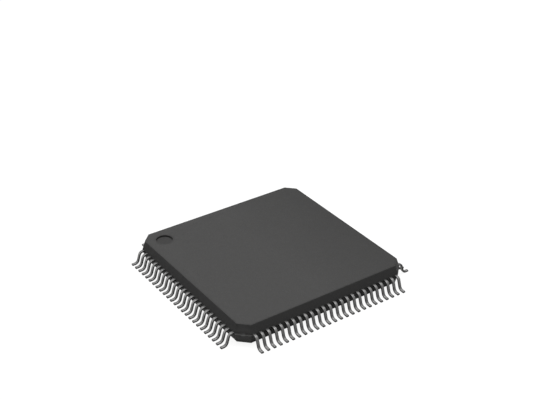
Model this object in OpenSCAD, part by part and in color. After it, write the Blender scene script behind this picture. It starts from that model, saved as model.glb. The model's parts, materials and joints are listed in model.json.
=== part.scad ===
// Low-profile quad flat package with gull-wing leads on four sides.
// Millimetres. +Z is up, and the origin is at the body's centre on the plane that the feet stand on.

/* [Body] */
// Thickness of the moulded body
body_t = 1.45; // [1.35:0.01:1.8]
// Thickness of the body below its parting plane
lower_t = 0.75; // [0.65:0.01:0.85]
// Height of the body's underside above the board
standoff = 0.15; // [0.05:0.01:0.3]
// Draft of the walls above the parting plane, in degrees
draft_top = 17; // [5:0.5:20]
// Draft of the walls below the parting plane, in degrees
draft_low = 14.5; // [5:0.5:20]
// Length that each corner cut takes off a side at the parting plane
corner_cut = 0.8; // [0.6:0.01:0.85]
// Width of the ledge on the parting plane at the corner where the resin enters
gate_ledge = 0.16; // [0.05:0.01:0.2]
// Draft of the wall above that ledge, in degrees
gate_draft = 10.5; // [5:0.5:17]

/* [Pin 1 mark] */
// Diameter of the round recess that marks pin 1
mark_d = 1.2; // [0.6:0.05:1.6]
// Depth of the recess
mark_depth = 0.15; // [0.04:0.01:0.2]
// Draft of the recess's wall, in degrees
mark_draft = 2; // [0.5:0.5:20]
// Distance of the recess's centre from both sides of the body
mark_inset = 1.5; // [1.2:0.05:2.5]

/* [Leads] */
// Leads in each of the four rows
row_count = 25; // [12:1:30]
// Distance from lead to lead
lead_pitch = 0.5; // [0.4:0.01:0.65]
// Distance from the last lead of a row to the side of the body
row_margin = 1; // [0.9:0.01:1.5]
// Width of a lead
lead_w = 0.2; // [0.15:0.01:0.24]
// Thickness of the lead frame's strip
lead_t = 0.127; // [0.1:0.001:0.2]
// Distance from the side of the body to the end of the foot
lead_reach = 1; // [0.95:0.01:1.6]
// Straight run of a lead outside the body before its first bend
shoulder_l = 0.1; // [0.05:0.01:0.2]
// Inside radius of the bend below the shoulder
shoulder_r = 0.2; // [0.08:0.01:0.26]
// Inside radius of the bend above the foot
heel_r = 0.25; // [0.08:0.01:0.31]
// Slope of the leg, in degrees from level
leg_slope = 73; // [66:1:85]

/* [Lead frame inside the resin] */
// Straight run of a lead inside the body
root_l = 0.4; // [0.3:0.01:0.7]
// Straight run at the tip of a lead, where its wire is bonded
tip_l = 0.35; // [0.25:0.01:0.5]
// Width of a lead at its tip
tip_w = 0.14; // [0.1:0.01:0.18]
// Gap between the lead tips and the die pad
tip_gap = 0.4; // [0.25:0.01:0.6]
// Distance from the last tip of a row to the diagonal, measured along the row
tip_margin = 0.46; // [0.36:0.01:0.7]
// Margin of the die pad round the die
pad_margin = 0.8; // [0.4:0.05:1.2]
// Drop of the die pad below the leads
downset = 0.2; // [0.1:0.01:0.3]
// Slope of the tie bars where they step down, in degrees
downset_slope = 45; // [30:1:60]
// Straight run of a tie bar from the pad's corner to its step
tie_run = 0.25; // [0.1:0.05:0.6]
// Width of the four tie bars that hold the die pad
tie_w = 0.2; // [0.1:0.01:0.25]

/* [Die] */
// Width of the silicon die
die_w = 5; // [3:0.1:6]
// Thickness of the die
die_t = 0.28; // [0.15:0.01:0.35]
// Thickness of the adhesive under the die
attach_t = 0.025; // [0.01:0.005:0.05]
// Spread of the adhesive beyond each side of the die
attach_spread = 0.1; // [0.02:0.01:0.3]

/* [Bond wires] */
// Thickness of the wire
wire_d = 0.025; // [0.018:0.001:0.04]
// Height of the wire's loop above the die
loop_h = 0.15; // [0.08:0.01:0.25]
// Level run at the top of the loop
loop_flat = 0.3; // [0.1:0.05:0.8]
// Length of the flattened end on the lead
stitch_l = 0.08; // [0.04:0.01:0.12]
// Diameter of the ball on the die
ball_d = 0.06; // [0.045:0.005:0.08]
// Height of the ball
ball_h = 0.02; // [0.012:0.002:0.03]
// Distance of the row of balls from the side of the die
ball_inset = 0.12; // [0.08:0.01:0.3]
// Distance from the last ball of a row to the corner of the die, along the row
ball_margin = 0.45; // [0.3:0.05:1]

/* [Hidden] */
$fn = 64;

// Overshoot of the recess's cut above the top face
over = 0.2;

// Body, from the rows of leads
half_w = (row_count - 1) * lead_pitch / 2 + row_margin;
z_bottom = standoff;
z_part = standoff + lower_t;
z_top = standoff + body_t;
corner_half = (2 * half_w - corner_cut) / sqrt(2);
bar_l = 4 * half_w;

// Lead frame: its strip is centred on the parting plane
z_lead_low = z_part - lead_t / 2;
z_lead_top = z_part + lead_t / 2;
pad_w = die_w + 2 * pad_margin;
z_pad_low = z_lead_low - downset;
z_pad_top = z_lead_top - downset;
tip_out = pad_w / 2 + tip_gap;
tip_pitch = 2 * (tip_out - tip_margin) / (row_count - 1);
step_start = pad_w / sqrt(2) + tie_run;
step_end = step_start + downset / tan(downset_slope);
step_mitre = lead_t * tan(downset_slope / 2);

// Gull wing: middle radii of the bends, then the straight lengths that fill the height and the reach
shoulder_mid_r = shoulder_r + lead_t / 2;
heel_mid_r = heel_r + lead_t / 2;
drop = z_part - lead_t / 2;
bends_r = shoulder_mid_r + heel_mid_r;
leg_l = (drop - bends_r * (1 - cos(leg_slope))) / sin(leg_slope);
wing_l = bends_r * sin(leg_slope) + leg_l * cos(leg_slope);
foot_l = lead_reach - shoulder_l - wing_l;
turn_l = 4 * max(shoulder_mid_r, heel_mid_r);

// Die stack and wires
z_attach = z_pad_top;
z_die = z_attach + attach_t;
z_die_top = z_die + die_t;
z_loop = z_die_top + loop_h;
ball_out = die_w / 2 - ball_inset;
ball_pitch = (die_w - 2 * ball_margin) / (row_count - 1);
stitch_out = tip_out + tip_l / 2;

// Place of item i in a row of the given pitch, counted from the row's middle
function along(i, pitch) = (i - (row_count - 1) / 2) * pitch;

// Section of a bar with drafted walls that is widest at the parting plane.
// With a gate, the wall at its start has a ledge there.
function drafted_section(half, gate) = let(
  upper_t = body_t - lower_t,
  low = half - lower_t * tan(draft_low),
  high = half - upper_t * tan(draft_top),
  foot = high + upper_t * tan(gate_draft)
) [
  [-low, z_bottom],
  [low, z_bottom],
  [half, z_part],
  [high, z_top],
  [-high, z_top],
  each gate ? [[-foot, z_part], [-foot - gate_ledge, z_part]] : [[-half, z_part]]
];

// Turns a row that is drawn for the front to side k: 0 left, 1 front, 2 right, 3 rear
module on_side(k) {
  rotate([0, 0, 90 * (k - 1)]) children();
}

// Stands a flat drawing upright, with its x pointing along the given heading and its y pointing up
module upright(heading, width) {
  rotate([0, 0, heading]) rotate([90, 0, 0]) linear_extrude(width, center = true) children();
}

module drafted_bar(heading, half, gate = false) {
  upright(heading, bar_l) polygon(drafted_section(half, gate));
}

// Outside of the moulding: four drafted bars crossed, with the resin's entry at the front left corner
module body_outline() {
  intersection() {
    drafted_bar(0, half_w);
    drafted_bar(90, half_w);
    drafted_bar(45, corner_half, gate = true);
    drafted_bar(135, corner_half);
  }
}

module pin_mark() {
  r = mark_d / 2;
  place = half_w - mark_inset;
  slope = tan(mark_draft);
  translate([-place, place, z_top - mark_depth])
    cylinder(h = mark_depth + over, r1 = r - mark_depth * slope, r2 = r + over * slope);
}

// Flat part of lead i: tip, slanting finger, root and shoulder
module lead_flat(i) {
  out = along(i, lead_pitch);
  tip = along(i, tip_pitch);
  end = half_w + shoulder_l;
  root = half_w - root_l;
  neck = tip_out + tip_l;
  translate([0, 0, z_lead_low]) linear_extrude(lead_t) polygon([
    [out - lead_w / 2, -end],
    [out + lead_w / 2, -end],
    [out + lead_w / 2, -root],
    [tip + tip_w / 2, -neck],
    [tip + tip_w / 2, -tip_out],
    [tip - tip_w / 2, -tip_out],
    [tip - tip_w / 2, -neck],
    [out - lead_w / 2, -root]
  ]);
}

// Strip of the given length, from the origin along x
module strip(length) {
  translate([0, -lead_t / 2]) square([length, lead_t]);
}

// Bend of a strip that comes in along x and turns by the given angle, down if it is negative.
// Its children go on from the end of the bend.
module bend(mid_r, angle) {
  side = angle < 0 ? -1 : 1;
  translate([0, side * mid_r]) {
    intersection() {
      difference() {
        circle(mid_r + lead_t / 2);
        circle(mid_r - lead_t / 2);
      }
      translate([0, -turn_l]) square([turn_l, 2 * turn_l]);
      rotate(angle) translate([-turn_l, -turn_l]) square([turn_l, 2 * turn_l]);
    }
    rotate(angle) translate([0, -side * mid_r]) children();
  }
}

// Side view of the gull wing, from the end of the shoulder to the end of the foot
module wing_profile() {
  bend(shoulder_mid_r, -leg_slope) {
    strip(leg_l);
    translate([leg_l, 0]) bend(heel_mid_r, leg_slope) strip(foot_l);
  }
}

module lead(i) {
  lead_flat(i);
  translate([along(i, lead_pitch), -half_w - shoulder_l, z_part]) upright(-90, lead_w) wing_profile();
}

module lead_row(k) {
  on_side(k) for (i = [0 : row_count - 1]) lead(i);
}

// Tie bar towards one corner, longer than the body: it steps up from the pad to the level of the leads
module tie_bar(heading) {
  upright(heading, tie_w) polygon([
    [step_start - tie_run - tie_w, z_pad_low],
    [step_start, z_pad_low],
    [step_end, z_lead_low],
    [bar_l / 2, z_lead_low],
    [bar_l / 2, z_lead_top],
    [step_end - step_mitre, z_lead_top],
    [step_start - step_mitre, z_pad_top],
    [step_start - tie_run - tie_w, z_pad_top]
  ]);
}

module tie_bars() {
  for (k = [0 : 3]) tie_bar(45 + 90 * k);
}

module pad_plate() {
  translate([-pad_w / 2, -pad_w / 2, z_pad_low]) cube([pad_w, pad_w, lead_t]);
}

module attach_layer() {
  w = die_w + 2 * attach_spread;
  translate([-w / 2, -w / 2, z_attach]) cube([w, w, attach_t]);
}

module die_block() {
  translate([-die_w / 2, -die_w / 2, z_die]) cube([die_w, die_w, die_t]);
}

// Side view of a wire: up from its ball, level, then down to the flattened end on the lead
module wire_profile(length) {
  r = wire_d / 2;
  polygon([
    [-r, z_die_top + ball_h / 2],
    [r, z_die_top + ball_h / 2],
    [r, z_loop - wire_d],
    [loop_flat, z_loop - wire_d],
    [length - stitch_l / 2, z_lead_top],
    [length + stitch_l / 2, z_lead_top],
    [length + stitch_l / 2, z_lead_top + r],
    [length - stitch_l / 2, z_lead_top + wire_d],
    [loop_flat, z_loop],
    [-r, z_loop]
  ]);
}

// Wire i, from its ball near the side of the die to the tip of lead i
module wire(i) {
  start = [along(i, ball_pitch), -ball_out];
  finish = [along(i, tip_pitch), -stitch_out];
  run = finish - start;
  translate(start) {
    upright(atan2(run.y, run.x), wire_d) wire_profile(norm(run));
    translate([0, 0, z_die_top]) cylinder(h = ball_h, d = ball_d, $fn = 8);
  }
}

module wire_row(k) {
  on_side(k) for (i = [0 : row_count - 1]) wire(i);
}

// Everything that the resin flows round
module inserts() {
  for (k = [0 : 3]) {
    on_side(k) for (i = [0 : row_count - 1]) lead_flat(i);
    wire_row(k);
  }
  pad_plate();
  tie_bars();
  attach_layer();
  die_block();
}

module mold_body() {
  color("#383838") difference() {
    body_outline();
    pin_mark();
    inserts();
  }
}

module leads_left() {
  color("silver") lead_row(0);
}

module leads_front() {
  color("silver") lead_row(1);
}

module leads_right() {
  color("silver") lead_row(2);
}

module leads_rear() {
  color("silver") lead_row(3);
}

module die_pad() {
  color("#b87333") {
    pad_plate();
    intersection() {
      tie_bars();
      body_outline();
    }
  }
}

module die_attach() {
  color("#c8c8c0") attach_layer();
}

module die() {
  color("#50586a") die_block();
}

module wires_left() {
  color("gold") wire_row(0);
}

module wires_front() {
  color("gold") wire_row(1);
}

module wires_right() {
  color("gold") wire_row(2);
}

module wires_rear() {
  color("gold") wire_row(3);
}

mold_body();
leads_left();
leads_front();
leads_right();
leads_rear();
die_pad();
die_attach();
die();
wires_left();
wires_front();
wires_right();
wires_rear();
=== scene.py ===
"""A quad flat package with gull-wing leads, dressed on its solids. Everything is in metres."""

import json
from math import cos, hypot, pi, radians, sin, tan

import bmesh
import bpy
from mathutils import Matrix, Vector

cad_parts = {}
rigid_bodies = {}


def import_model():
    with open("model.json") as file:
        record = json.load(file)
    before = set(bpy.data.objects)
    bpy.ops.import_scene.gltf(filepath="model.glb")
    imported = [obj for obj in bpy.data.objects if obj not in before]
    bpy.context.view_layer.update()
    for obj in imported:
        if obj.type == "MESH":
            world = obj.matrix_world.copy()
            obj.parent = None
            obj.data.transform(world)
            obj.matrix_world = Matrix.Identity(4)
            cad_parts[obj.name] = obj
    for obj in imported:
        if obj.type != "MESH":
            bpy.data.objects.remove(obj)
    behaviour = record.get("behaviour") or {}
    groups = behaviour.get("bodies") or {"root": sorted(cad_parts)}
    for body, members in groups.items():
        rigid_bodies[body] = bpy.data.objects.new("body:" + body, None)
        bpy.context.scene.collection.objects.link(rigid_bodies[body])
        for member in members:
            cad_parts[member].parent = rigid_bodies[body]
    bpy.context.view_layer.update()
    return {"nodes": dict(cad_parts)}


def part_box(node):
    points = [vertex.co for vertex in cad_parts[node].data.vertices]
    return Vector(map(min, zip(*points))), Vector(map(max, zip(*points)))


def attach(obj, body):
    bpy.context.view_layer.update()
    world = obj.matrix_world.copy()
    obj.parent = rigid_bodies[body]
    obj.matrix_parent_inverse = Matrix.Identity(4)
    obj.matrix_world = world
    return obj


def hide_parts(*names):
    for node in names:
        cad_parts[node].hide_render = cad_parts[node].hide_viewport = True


for startup_object in list(bpy.data.objects):
    bpy.data.objects.remove(startup_object)
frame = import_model()

MM = 0.001
SAME_LEVEL = 0.001 * MM
SAME_POINT = 0.0001 * MM
DIAGONAL = 0.5 ** 0.5

# Camera, fitted to the photograph
IMAGE_WIDTH = 560
FOCAL_PIXELS = 1142.8
SENSOR_WIDTH = 36.0
AZIMUTH = -34.94
ELEVATION = 30.274
ROLL = 0.033
DISTANCE = 82.967 * MM
AIM_RIGHT = 0.7702 * MM
AIM_UP = 4.9523 * MM

# Moulded body, with the outline of its top face
BODY_LOW, BODY_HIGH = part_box("mold_body")
BODY_MESH = frame["nodes"]["mold_body"].data
RIM = [v.co for v in BODY_MESH.vertices if v.co.z > BODY_HIGH.z - SAME_LEVEL]
RIM_SIDE = max(point.x for point in RIM)
RIM_CORNER = max(point.x + point.y for point in RIM) * DIAGONAL
EDGE_ROUND = 0.04 * MM
EDGE_STEPS = 3
FLAT_ANGLE = radians(0.5)
LEVEL_NORMAL = 0.99
BODY_SHARP_ANGLE = radians(40)

# Pin-1 recess
MARK_RADIUS = 0.6 * MM
MARK_DEPTH = 0.15 * MM
MARK_DRAFT = radians(2)
MARK_INSET = 1.5 * MM
MARK_MARGIN = 0.01 * MM
MARK_RIM_ROUND = 0.02 * MM
MARK_ROUND_STEPS = 4
MARK_STEPS = 96
MARK_FLOOR = (BODY_LOW.x + MARK_INSET, BODY_HIGH.y - MARK_INSET, BODY_HIGH.z - MARK_DEPTH)

# Finish of the moulded body, where a tone multiplies the resin's own colour; the wall, rim, recess and gate
# tones and the falloff across the top are painted shade and light
RESIN_WARMTH = 0.008
RESIN_GRAIN = 0.045 * MM
FLOW_GRAIN = 2.5 * MM
FLOW_UNEVENNESS = 0.15
WALL_SHADE_TONE = 0.82
RIM_SHADE_TONE = 0.8
RIM_FADE_START = -0.16 * MM
RIM_FADE_END = 0.03 * MM
MARK_SHADE_TONE = 0.77
MARK_FADE_START = 0.95 * MARK_RADIUS
MARK_FADE_END = 1.35 * MARK_RADIUS
GATE = (-6.6 * MM, -6.6 * MM, 0.75 * MM)
GATE_LIGHT_TONE = 1.75
GATE_FADE_START = 0.5 * MM
GATE_FADE_END = 0.85 * MM

# Leads, drawn for the front row; the radii are those of the middle of the strip
ROW_LOW, ROW_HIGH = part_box("leads_front")
ROW_SIDES = {"left": 0, "front": 1, "right": 2, "rear": 3}
ROW_COUNT = 25
HALF_BODY = -BODY_LOW.y
TOE_OUT = -ROW_LOW.y
TIP_OUT = -ROW_HIGH.y
LEAD_PITCH = 0.5 * MM
LEAD_WIDTH = 0.2 * MM
LEAD_THICKNESS = 0.127 * MM
SHOULDER_LENGTH = 0.1 * MM
SHOULDER_RADIUS = 0.2 * MM + LEAD_THICKNESS / 2
HEEL_RADIUS = 0.25 * MM + LEAD_THICKNESS / 2
LEG_SLOPE = radians(73)
ROOT_LENGTH = 0.4 * MM
TIP_LENGTH = 0.35 * MM
TIP_WIDTH = 0.14 * MM
TIP_MARGIN = 0.46 * MM
LEAD_EDGE_ROUND = 0.018 * MM
LEAD_EDGE_LEAST = 0.15 * LEAD_EDGE_ROUND
LEAD_EDGE_STEPS = 3
LEAD_SHARP_ANGLE = radians(50)
BEND_STEPS = 14

# Finish of the metal, where a tone multiplies its own colour and cut tie bars have their own grey; the
# root, toe and heel tones are painted shade
ROOT_SHADE_TONE = 0.5
ROOT_SHADE_FADE = 0.2 * MM
TOE_SHADE_TONE = 0.6
TOE_FADE_START = 0.1 * MM
TOE_FADE_END = 0.02 * MM
HEEL_SHADE_HEIGHT = 1.0 * MM
TIE_CUT_START = 8.9 * MM
TIE_CUT_END = 9.0 * MM
TIE_CUT_GREY = 0.095

# Floor and light: what is seen of the floor, what it throws back, and the light from all round
FLOOR_SIZE = 1.2
FLOOR_DROP = 0.001 * MM
FLOOR_GLOW = 0.9
FLOOR_WHITE = 0.19
FLOOR_BOUNCE = 0.4
AMBIENT = 0.005


def new_piece(name, bm, material, node):
    """Makes a mesh object that stands for a CAD node, with the given material, and hides the node."""
    mesh = bpy.data.meshes.new(name)
    bm.normal_update()
    bm.to_mesh(mesh)
    bm.free()
    mesh.materials.append(material)
    piece = bpy.data.objects.new(name, mesh)
    bpy.context.scene.collection.objects.link(piece)
    piece.modifiers.new("even_normals", "WEIGHTED_NORMAL").keep_sharp = True
    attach(piece, "root")
    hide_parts(node)


def shade(bm, sharp_angle):
    """Smooth faces, with the edges that turn by more than the given angle kept sharp."""
    for face in bm.faces:
        face.smooth = True
    for edge in bm.edges:
        edge.smooth = edge.calc_face_angle(pi) < sharp_angle


class Nodes:
    """A material's node tree, with short calls for the nodes that the materials here share."""

    def __init__(self, name):
        self.material = bpy.data.materials.new(name)
        self.material.use_nodes = True
        self.tree = self.material.node_tree
        self.tree.nodes.clear()
        self.output = self.tree.nodes.new("ShaderNodeOutputMaterial")
        self.place = self.add("ShaderNodeTexCoord").outputs["Object"]

    def add(self, kind, **settings):
        node = self.tree.nodes.new(kind)
        for key, value in settings.items():
            setattr(node, key, value)
        return node

    def link(self, source, target):
        self.tree.links.new(source, target)

    def feed(self, socket, value):
        """Links a socket, or sets it to a plain value."""
        if isinstance(value, bpy.types.NodeSocket):
            self.link(value, socket)
        else:
            socket.default_value = value

    def math(self, operation, *values):
        node = self.add("ShaderNodeMath", operation=operation)
        for socket, value in zip(node.inputs, values):
            self.feed(socket, value)
        return node.outputs[0]

    def axes(self, vector):
        split = self.add("ShaderNodeSeparateXYZ")
        self.link(vector, split.inputs["Vector"])
        return split.outputs

    def stretched(self, scale):
        """Object coordinates times the given scale; a scale under 1 draws noise out along that axis."""
        mapping = self.add("ShaderNodeMapping")
        mapping.inputs["Scale"].default_value = scale
        self.link(self.place, mapping.inputs["Vector"])
        return mapping.outputs["Vector"]

    def noise(self, grain, detail=3.0, vector=None):
        """Noise whose features are about as large as the given grain."""
        node = self.add("ShaderNodeTexNoise")
        node.inputs["Scale"].default_value = 1 / grain
        node.inputs["Detail"].default_value = detail
        self.link(vector or self.place, node.inputs["Vector"])
        return node.outputs["Fac"]

    def spread(self, value, low, high, start=0.3, end=0.7):
        """Maps a value to low at the start and high at the end; start and end suit noise unless given."""
        node = self.add("ShaderNodeMapRange")
        sockets = ("From Min", "From Max", "To Min", "To Max")
        for socket, number in zip(sockets, (start, end, low, high)):
            node.inputs[socket].default_value = number
        self.link(value, node.inputs["Value"])
        return node.outputs["Result"]

    def upward(self):
        """How far a face looks up: 1 for level faces, 0 for upright ones, less for undersides."""
        return self.axes(self.add("ShaderNodeTexCoord").outputs["Normal"])["Z"]

    def across(self):
        """Place along x: 0 at the left side of the body, 1 at its right side."""
        return self.spread(self.axes(self.place)["X"], 0.0, 1.0, start=BODY_LOW.x, end=BODY_HIGH.x)

    def height(self):
        return self.axes(self.place)["Z"]

    def outward(self):
        """How far out a point lies: the larger of |x| and |y|."""
        place = self.axes(self.place)
        return self.math("MAXIMUM", self.math("ABSOLUTE", place["X"]), self.math("ABSOLUTE", place["Y"]))

    def past_rim(self):
        """How far a point lies outside the outline of the body's top face; less than 0 inside it."""
        place = self.axes(self.place)
        both = self.math("ADD", self.math("ABSOLUTE", place["X"]), self.math("ABSOLUTE", place["Y"]))
        past_corner = self.math("MULTIPLY_ADD", both, DIAGONAL, -RIM_CORNER)
        return self.math("MAXIMUM", self.math("SUBTRACT", self.outward(), RIM_SIDE), past_corner)

    def distance(self, point):
        """Distance of the surface from a fixed point."""
        node = self.add("ShaderNodeVectorMath", operation="DISTANCE")
        node.inputs[1].default_value = point
        self.link(self.place, node.inputs[0])
        return node.outputs["Value"]

    def ramp(self, value, stops):
        """Maps a value from 0 to 1 to a colour, by (position, colour) stops."""
        node = self.add("ShaderNodeValToRGB")
        elements = node.color_ramp.elements
        while len(elements) < len(stops):
            elements.new(0.5)
        for element, (position, colour) in zip(elements, stops):
            element.position = position
            element.color = (*colour, 1)
        self.link(value, node.inputs["Fac"])
        return node.outputs["Color"]

    def blend(self, factor, first, second, mode="MIX"):
        """Mixes two colours; the numbers are the places of the node's colour sockets."""
        node = self.add("ShaderNodeMix", data_type="RGBA", blend_type=mode)
        for socket, value in ((0, factor), (6, first), (7, second)):
            self.feed(node.inputs[socket], value)
        return node.outputs[2]

    def times(self, first, second):
        return self.blend(1.0, first, second, "MULTIPLY")

    def bump(self, height, depth):
        node = self.add("ShaderNodeBump")
        node.inputs["Distance"].default_value = depth
        self.link(height, node.inputs["Height"])
        return node.outputs["Normal"]

    def surface(self, colour, roughness, normal, metallic=0.0, specular=0.5):
        shader = self.add("ShaderNodeBsdfPrincipled")
        shader.inputs["Metallic"].default_value = metallic
        shader.inputs["Specular IOR Level"].default_value = specular
        self.link(colour, shader.inputs["Base Color"])
        self.link(roughness, shader.inputs["Roughness"])
        self.link(normal, shader.inputs["Normal"])
        self.link(shader.outputs["BSDF"], self.output.inputs["Surface"])
        return self.material


def grey(level, warmth=0.0):
    return (level * (1 + warmth), level, level * (1 - warmth))


def opaque_grey(level):
    return (*grey(level), 1)


def mould_material():
    """Filled black epoxy: a fine matt skin with pale grains.

    It is darker on the walls, at the rim, in the recess and on the top towards the right, all painted
    shade, and paler where the resin's entry broke off, which is painted light.
    """
    n = Nodes("mould_compound")
    grains = n.noise(RESIN_GRAIN, detail=2)
    resin = n.ramp(grains, [
        (0.3, grey(0.087, RESIN_WARMTH)),
        (0.62, grey(0.098, RESIN_WARMTH)),
        (0.8, grey(0.125, RESIN_WARMTH)),
    ])
    # Painted light falloff: the top is darker towards the right side, with a little random mottle from the
    # noise.
    drift = n.blend(FLOW_UNEVENNESS, n.across(), n.noise(FLOW_GRAIN))
    painted_falloff_and_flow = n.ramp(drift, [(0.1, grey(1)), (0.5, grey(0.985)), (0.95, grey(0.77))])
    # Painted shade along the edge of the top face.
    rim = n.spread(n.past_rim(), 1.0, RIM_SHADE_TONE, start=RIM_FADE_START, end=RIM_FADE_END)
    # Painted shade: faces that look up less, the walls, take the darker wall tone.
    level = n.spread(n.upward(), 0.0, 1.0, start=0.5, end=0.8)
    colour = n.times(resin, n.blend(level, opaque_grey(WALL_SHADE_TONE), n.times(painted_falloff_and_flow, rim)))
    # Painted shade in the pin-1 recess, fading out past its rim.
    mark_distance = n.distance(MARK_FLOOR)
    recess = n.spread(mark_distance, MARK_SHADE_TONE, 1.0, start=MARK_FADE_START, end=MARK_FADE_END)
    colour = n.times(colour, recess)
    # Painted light: at the gate corner, where the resin's entry broke off, the walls are made paler, the
    # lower ones most.
    facing = n.spread(n.upward(), 0.0, 1.0, start=-1.0, end=1.0)
    painted_gate_light = n.ramp(facing, [
        (0.15, grey(0)), (0.3, grey(1)), (0.48, grey(1)),
        (0.52, grey(0.5)), (0.7, grey(0.5)), (0.8, grey(0)),
    ])
    at_gate = n.spread(n.distance(GATE), 1.0, 0.0, start=GATE_FADE_START, end=GATE_FADE_END)
    colour = n.blend(n.times(painted_gate_light, at_gate), colour, n.times(colour, opaque_grey(GATE_LIGHT_TONE)))
    roughness = n.spread(n.noise(0.3 * MM), 0.56, 0.68)
    normal = n.bump(n.noise(0.03 * MM, detail=4), 0.004 * MM)
    return n.surface(colour, roughness, normal, specular=0.03)


def lead_material():
    """Matt tin on copper alloy, with a painted top light that makes level faces brightest and sheared sides
    dull, and painted shade at the roots, heels and toes.
    """
    n = Nodes("tinned_lead")
    clouds = n.ramp(n.noise(0.12 * MM, detail=4), [(0.3, grey(0.86)), (0.7, grey(1.0, 0.01))])
    # Painted top light: a face is lighter the more it looks up, so level faces are brightest and upright
    # sides darkest.
    tin = n.ramp(n.math("ABSOLUTE", n.upward()), [
        (0.02, grey(0.04)), (0.2, grey(0.13)), (0.5, grey(0.155)), (0.93, grey(0.195)), (1.0, grey(0.23)),
    ])
    colour = n.times(tin, clouds)
    # Painted shade on the leads next to the body.
    root = n.spread(n.outward(), ROOT_SHADE_TONE, 1.0, start=HALF_BODY, end=HALF_BODY + ROOT_SHADE_FADE)
    colour = n.times(colour, root)
    # Painted shade at the toe, where the lead meets the floor.
    toe = n.spread(
        n.outward(), 1.0, TOE_SHADE_TONE, start=TOE_OUT - TOE_FADE_START, end=TOE_OUT - TOE_FADE_END,
    )
    colour = n.times(colour, toe)
    # Painted shade on the heel and lower leg, which dims their highlight; the foot keeps its full tone.
    heel_shade = n.ramp(n.spread(n.height(), 0.0, 1.0, start=0.0, end=HEEL_SHADE_HEIGHT), [
        (0.13, grey(1)), (0.15, grey(0.72)), (0.3, grey(0.74)), (0.7, grey(1)),
    ])
    colour = n.times(colour, heel_shade)
    drag = n.noise(0.02 * MM, detail=3, vector=n.stretched((1, 1, 0.15)))
    roughness = n.spread(n.noise(0.06 * MM), 0.46, 0.58)
    normal = n.bump(drag, 0.0025 * MM)
    return n.surface(colour, roughness, normal, metallic=1.0)


def copper_material():
    """Bare rolled copper alloy with a fine rolling grain, dull grey where it is cut off at the corners."""
    n = Nodes("rolled_copper")
    rolled = n.noise(0.05 * MM, vector=n.stretched((0.1, 1, 1)))
    bare = n.ramp(rolled, [(0.3, (0.62, 0.34, 0.2)), (0.7, (0.76, 0.46, 0.29))])
    from_middle = n.distance((0, 0, BODY_LOW.z))
    ends = n.spread(from_middle, 0.0, 1.0, start=TIE_CUT_START, end=TIE_CUT_END)
    colour = n.blend(ends, bare, opaque_grey(TIE_CUT_GREY))
    roughness = n.spread(ends, 0.35, 0.6, start=0.0, end=1.0)
    return n.surface(colour, roughness, n.bump(rolled, 0.002 * MM), metallic=1.0)


def adhesive_material():
    """Grey paste with silver flakes."""
    n = Nodes("silver_adhesive")
    flakes = n.noise(0.03 * MM, detail=2)
    colour = n.ramp(flakes, [(0.35, grey(0.42, 0.03)), (0.65, grey(0.75, 0.02))])
    roughness = n.spread(flakes, 0.6, 0.35)
    return n.surface(colour, roughness, n.bump(flakes, 0.003 * MM), metallic=0.6)


def silicon_material():
    """Polished die with the faint block pattern of its circuits."""
    n = Nodes("patterned_silicon")
    blocks = n.add("ShaderNodeTexBrick", offset=0.4)
    blocks.inputs["Color1"].default_value = (0.13, 0.15, 0.2, 1)
    blocks.inputs["Color2"].default_value = (0.2, 0.2, 0.24, 1)
    blocks.inputs["Mortar"].default_value = (0.34, 0.31, 0.26, 1)
    blocks.inputs["Scale"].default_value = 1 / (1.2 * MM)
    blocks.inputs["Mortar Size"].default_value = 0.012
    n.link(n.place, blocks.inputs["Vector"])
    cells = n.ramp(n.noise(0.02 * MM, detail=1), [(0.4, grey(0.75)), (0.6, grey(1.0))])
    colour = n.times(blocks.outputs["Color"], cells)
    roughness = n.spread(n.noise(0.4 * MM), 0.12, 0.22)
    return n.surface(colour, roughness, n.bump(blocks.outputs["Fac"], 0.001 * MM), metallic=0.7)


def gold_material():
    """Drawn gold wire."""
    n = Nodes("drawn_gold")
    drawn = n.noise(0.008 * MM)
    colour = n.ramp(drawn, [(0.3, (0.83, 0.58, 0.2)), (0.7, (0.95, 0.72, 0.32))])
    roughness = n.spread(drawn, 0.2, 0.34)
    return n.surface(colour, roughness, n.bump(drawn, 0.0008 * MM), metallic=1.0)


def level_edges(bm, levels):
    """Edges that touch one of the given heights."""
    return [
        edge for edge in bm.edges
        if any(abs(v.co.z - level) < SAME_LEVEL for v in edge.verts for level in levels)
    ]


def flat_copy(node):
    """The node's mesh, welded, with each flat face in one piece."""
    bm = bmesh.new()
    bm.from_mesh(frame["nodes"][node].data)
    bmesh.ops.remove_doubles(bm, verts=bm.verts, dist=SAME_POINT)
    bmesh.ops.dissolve_limit(bm, angle_limit=FLAT_ANGLE, verts=bm.verts, edges=bm.edges)
    return bm


def mark_profile():
    """Radius and height of the recess's rings, from its rounded rim to the rounded foot of its wall."""
    turn = pi / 2 - MARK_DRAFT
    top = BODY_HIGH.z
    inset = MARK_RIM_ROUND * tan(turn / 2)
    rings = []
    for step in range(MARK_ROUND_STEPS + 1):
        angle = turn * step / MARK_ROUND_STEPS
        radius = MARK_RADIUS + inset - MARK_RIM_ROUND * sin(angle)
        rings.append((radius, top - MARK_RIM_ROUND * (1 - cos(angle))))
    floor_radius = MARK_RADIUS - MARK_DEPTH * tan(MARK_DRAFT)
    for step in range(MARK_ROUND_STEPS + 1):
        angle = turn * (1 - step / MARK_ROUND_STEPS)
        radius = floor_radius - inset + MARK_RIM_ROUND * sin(angle)
        rings.append((radius, top - MARK_DEPTH + MARK_RIM_ROUND * (1 - cos(angle))))
    return rings


def ring(bm, centre, radius, height):
    x, y = centre
    angles = [2 * pi * step / MARK_STEPS for step in range(MARK_STEPS)]
    return [bm.verts.new((x + radius * cos(a), y + radius * sin(a), height)) for a in angles]


def loop_edges(bm, verts):
    return [bm.edges.get(pair) or bm.edges.new(pair) for pair in zip(verts, verts[1:] + verts[:1])]


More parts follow.
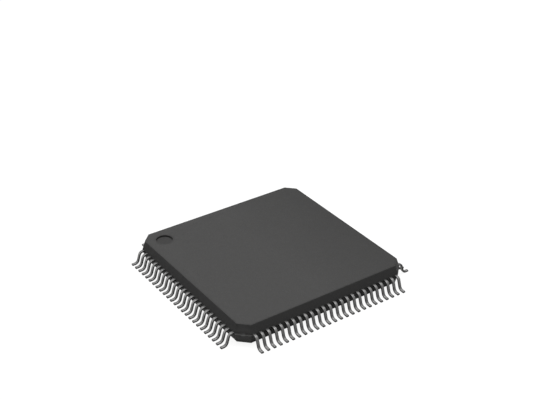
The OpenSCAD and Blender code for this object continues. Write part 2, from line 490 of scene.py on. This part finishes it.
def bridge(bm, near, far):
    """Joins two closed rings of as many points with a band of faces."""
    count = len(near)
    for i in range(count):
        j = (i + 1) % count
        bm.faces.new((near[i], near[j], far[j], far[i]))


def settled(bm):
    """A copy with its points and faces in order of place, so that each run gives the same mesh."""
    verts = sorted(bm.verts, key=lambda v: v.co[:])
    index = {vert: i for i, vert in enumerate(verts)}
    loops = []
    for face in bm.faces:
        loop = [index[vert] for vert in face.verts]
        start = loop.index(min(loop))
        loops.append(loop[start:] + loop[:start])
    copy = bmesh.new()
    points = [copy.verts.new(vert.co) for vert in verts]
    for loop in sorted(loops):
        copy.faces.new([points[i] for i in loop])
    copy.normal_update()
    bm.free()
    return copy


def mould_body(material):
    """The moulding with rounded outer edges and a round recess whose rim and foot are rounded too."""
    bm = flat_copy("mold_body")
    top, bottom = BODY_HIGH.z, BODY_LOW.z
    centre = MARK_FLOOR[:2]
    reach = MARK_RADIUS + MARK_MARGIN
    old_top = [
        face for face in bm.faces
        if all(
            abs(v.co.z - top) < SAME_LEVEL
            or (v.co.z > top - 2 * MARK_DEPTH and hypot(v.co.x - centre[0], v.co.y - centre[1]) < reach)
            for v in face.verts
        )
    ]
    bmesh.ops.delete(bm, geom=old_top, context="FACES")
    bmesh.ops.edgeloop_fill(bm, edges=[edge for edge in bm.edges if edge.is_boundary])
    bmesh.ops.bevel(
        bm, geom=level_edges(bm, (top, bottom)), offset=EDGE_ROUND, offset_type="OFFSET",
        segments=EDGE_STEPS, profile=0.5, affect="EDGES", clamp_overlap=True,
    )
    facing_up = [face for face in bm.faces if face.normal.z > LEVEL_NORMAL]
    lid = max(facing_up, key=lambda face: face.calc_center_median().z)
    outer_edges = list(lid.edges)
    bmesh.ops.delete(bm, geom=[lid], context="FACES_ONLY")
    rings = [ring(bm, centre, radius, height) for radius, height in mark_profile()]
    inner_edges = loop_edges(bm, rings[0])
    bmesh.ops.triangle_fill(bm, edges=outer_edges + inner_edges, use_beauty=True, normal=(0, 0, 1))
    for upper, lower in zip(rings, rings[1:]):
        bridge(bm, upper, lower)
    bm.faces.new(rings[-1])
    bmesh.ops.dissolve_degenerate(bm, dist=SAME_POINT, edges=bm.edges)
    bmesh.ops.triangulate(bm, faces=bm.faces, quad_method="BEAUTY", ngon_method="BEAUTY")
    bmesh.ops.recalc_face_normals(bm, faces=bm.faces)
    bm = settled(bm)
    shade(bm, BODY_SHARP_ANGLE)
    new_piece("moulded_body", bm, material, "mold_body")


def lead_stations():
    """Sections of a lead from its tip to its toe, as (outward, height, slope, fan share, width)."""
    level = ROW_HIGH.z - LEAD_THICKNESS / 2
    foot_level = LEAD_THICKNESS / 2
    shoulder_end = HALF_BODY + SHOULDER_LENGTH
    stations = [
        (TIP_OUT, level, 0.0, 1.0, TIP_WIDTH),
        (TIP_OUT + TIP_LENGTH, level, 0.0, 1.0, TIP_WIDTH),
        (HALF_BODY - ROOT_LENGTH, level, 0.0, 0.0, LEAD_WIDTH),
        (HALF_BODY, level, 0.0, 0.0, LEAD_WIDTH),
    ]
    bends = SHOULDER_RADIUS + HEEL_RADIUS
    leg = (level - foot_level - bends * (1 - cos(LEG_SLOPE))) / sin(LEG_SLOPE)
    for step in range(BEND_STEPS + 1):
        slope = LEG_SLOPE * step / BEND_STEPS
        stations.append((
            shoulder_end + SHOULDER_RADIUS * sin(slope),
            level - SHOULDER_RADIUS * (1 - cos(slope)),
            slope, 0.0, LEAD_WIDTH,
        ))
    heel_end = shoulder_end + bends * sin(LEG_SLOPE) + leg * cos(LEG_SLOPE)
    for step in range(BEND_STEPS + 1):
        slope = LEG_SLOPE * (1 - step / BEND_STEPS)
        stations.append((
            heel_end - HEEL_RADIUS * sin(slope),
            foot_level + HEEL_RADIUS * (1 - cos(slope)),
            slope, 0.0, LEAD_WIDTH,
        ))
    stations.append((TOE_OUT - LEAD_EDGE_ROUND, foot_level, 0.0, 0.0, LEAD_WIDTH))
    return stations


def rounded_section(width, thickness, inset=0.0):
    """Outline of a strip's section with rounded corners, drawn in by the given inset."""
    radius = max(LEAD_EDGE_ROUND - inset, LEAD_EDGE_LEAST)
    half_w, half_t = width / 2 - inset - radius, thickness / 2 - inset - radius
    points = []
    for corner, (side, lift) in enumerate(((1, 1), (-1, 1), (-1, -1), (1, -1))):
        for step in range(LEAD_EDGE_STEPS + 1):
            angle = pi / 2 * (corner + step / LEAD_EDGE_STEPS)
            points.append((side * half_w + radius * cos(angle), lift * half_t + radius * sin(angle)))
    return points


def add_lead(bm, turn, stations, out_place, tip_place):
    """Lofts one lead through its sections and closes both ends, with the edges of the toe rounded."""
    def section(station, inset=0.0, onward=0.0):
        outward, height, slope, fan, width = station
        middle = out_place + fan * (tip_place - out_place)
        verts = []
        for across, up in rounded_section(width, LEAD_THICKNESS, inset):
            point = Vector((middle + across, -outward - onward - up * sin(slope), height + up * cos(slope)))
            verts.append(bm.verts.new(turn @ point))
        return verts

    rows = [section(station) for station in stations]
    for step in range(1, LEAD_EDGE_STEPS + 1):
        angle = pi / 2 * step / LEAD_EDGE_STEPS
        rows.append(section(stations[-1], LEAD_EDGE_ROUND * (1 - cos(angle)), LEAD_EDGE_ROUND * sin(angle)))
    for near, far in zip(rows, rows[1:]):
        bridge(bm, near, far)
    bm.faces.new(rows[0])
    bm.faces.new(rows[-1])


def lead_row(side, material):
    """One row of separate leads, drawn for the front and turned to its side."""
    turn = Matrix.Rotation(radians(90) * (ROW_SIDES[side] - 1), 3, "Z")
    stations = lead_stations()
    tip_pitch = 2 * (TIP_OUT - TIP_MARGIN) / (ROW_COUNT - 1)
    bm = bmesh.new()
    for i in range(ROW_COUNT):
        share = i - (ROW_COUNT - 1) / 2
        add_lead(bm, turn, stations, share * LEAD_PITCH, share * tip_pitch)
    bmesh.ops.recalc_face_normals(bm, faces=bm.faces)
    shade(bm, LEAD_SHARP_ANGLE)
    new_piece("formed_leads_" + side, bm, material, "leads_" + side)


def dress(node, material):
    """Gives a CAD node that is shown as it is its own material."""
    mesh = frame["nodes"][node].data
    for i in range(len(mesh.materials)):
        mesh.materials[i] = material


def seen_directly(tree):
    """1 for rays that show the background: from the camera, or by way of gloss or glass."""
    path = tree.nodes.new("ShaderNodeLightPath")
    total = path.outputs["Is Camera Ray"]
    for name in ("Is Glossy Ray", "Is Transmission Ray"):
        larger = tree.nodes.new("ShaderNodeMath")
        larger.operation = "MAXIMUM"
        tree.links.new(total, larger.inputs[0])
        tree.links.new(path.outputs[name], larger.inputs[1])
        total = larger.outputs[0]
    return total


def floor_material():
    """White paper that keeps the shadow, and throws back less light than it shows."""
    n = Nodes("white_floor")
    glow = n.add("ShaderNodeEmission")
    glow.inputs["Strength"].default_value = FLOOR_GLOW
    paper = n.add("ShaderNodeBsdfDiffuse")
    paper.inputs["Color"].default_value = opaque_grey(FLOOR_WHITE)
    shown = n.add("ShaderNodeAddShader")
    n.link(glow.outputs["Emission"], shown.inputs[0])
    n.link(paper.outputs["BSDF"], shown.inputs[1])
    bounce = n.add("ShaderNodeBsdfDiffuse")
    bounce.inputs["Color"].default_value = opaque_grey(FLOOR_BOUNCE)
    choice = n.add("ShaderNodeMixShader")
    n.link(seen_directly(n.tree), choice.inputs[0])
    n.link(bounce.outputs["BSDF"], choice.inputs[1])
    n.link(shown.outputs["Shader"], choice.inputs[2])
    n.link(choice.outputs["Shader"], n.output.inputs["Surface"])
    return n.material


def make_floor():
    bm = bmesh.new()
    half = FLOOR_SIZE / 2
    corners = ((-half, -half), (half, -half), (half, half), (-half, half))
    bm.faces.new([bm.verts.new((x, y, -FLOOR_DROP)) for x, y in corners])
    mesh = bpy.data.meshes.new("floor")
    bm.to_mesh(mesh)
    bm.free()
    mesh.materials.append(floor_material())
    floor = bpy.data.objects.new("floor", mesh)
    bpy.context.scene.collection.objects.link(floor)


def make_world():
    """White where it is seen directly or in gloss, and almost dark as a light."""
    world = bpy.data.worlds.new("studio")
    world.use_nodes = True
    bpy.context.scene.world = world
    tree = world.node_tree
    tree.nodes.clear()
    dim = tree.nodes.new("ShaderNodeBackground")
    dim.inputs["Strength"].default_value = AMBIENT
    white = tree.nodes.new("ShaderNodeBackground")
    choice = tree.nodes.new("ShaderNodeMixShader")
    output = tree.nodes.new("ShaderNodeOutputWorld")
    for background in (dim, white):
        background.inputs["Color"].default_value = (1, 1, 1, 1)
    tree.links.new(seen_directly(tree), choice.inputs[0])
    tree.links.new(dim.outputs[0], choice.inputs[1])
    tree.links.new(white.outputs[0], choice.inputs[2])
    tree.links.new(choice.outputs[0], output.inputs["Surface"])


def direction(azimuth, elevation):
    """Unit vector from the object towards a place round it; azimuth 0 is the -Y side."""
    a, e = radians(azimuth), radians(elevation)
    return Vector((sin(a) * cos(e), -cos(a) * cos(e), sin(e)))


def softbox(name, azimuth, elevation, distance, size, level):
    """A square light that alone would show a white card facing it at about the given level."""
    data = bpy.data.lights.new(name, "AREA")
    data.size = size
    data.energy = level * pi ** 2 * (distance ** 2 + size ** 2 / 6)
    light = bpy.data.objects.new(name, data)
    towards = direction(azimuth, elevation)
    light.location = towards * distance
    light.rotation_mode = "QUATERNION"
    light.rotation_quaternion = (-towards).to_track_quat("-Z", "Y")
    bpy.context.scene.collection.objects.link(light)
    return light


def make_lights():
    """Soft light from above, and a reflector low at the rear left that shows only in gloss."""
    softbox("overhead", azimuth=0, elevation=90, distance=0.25, size=0.22, level=0.9)
    reflector = softbox("reflector", azimuth=-136, elevation=9, distance=0.3, size=0.08, level=0.25)
    reflector.visible_diffuse = False


def make_camera():
    data = bpy.data.cameras.new("camera")
    data.sensor_fit = "HORIZONTAL"
    data.sensor_width = SENSOR_WIDTH
    data.lens = FOCAL_PIXELS / IMAGE_WIDTH * SENSOR_WIDTH
    data.clip_start = DISTANCE * 0.01
    data.clip_end = FLOOR_SIZE * 4
    camera = bpy.data.objects.new("camera", data)
    back = direction(AZIMUTH, ELEVATION)
    turn = (-back).to_track_quat("-Z", "Y").to_matrix() @ Matrix.Rotation(radians(ROLL), 3, "Z")
    aim = turn @ Vector((AIM_RIGHT, AIM_UP, DISTANCE))
    camera.matrix_world = Matrix.Translation(aim) @ turn.to_4x4()
    bpy.context.scene.collection.objects.link(camera)
    bpy.context.scene.camera = camera


mould_body(mould_material())
tin = lead_material()
for row_side in ROW_SIDES:
    lead_row(row_side, tin)
dress("die_pad", copper_material())
dress("die_attach", adhesive_material())
dress("die", silicon_material())
gold = gold_material()
for row_side in ROW_SIDES:
    dress("wires_" + row_side, gold)

make_floor()
make_world()
make_lights()
make_camera()
bpy.context.scene.view_settings.view_transform = "Standard"
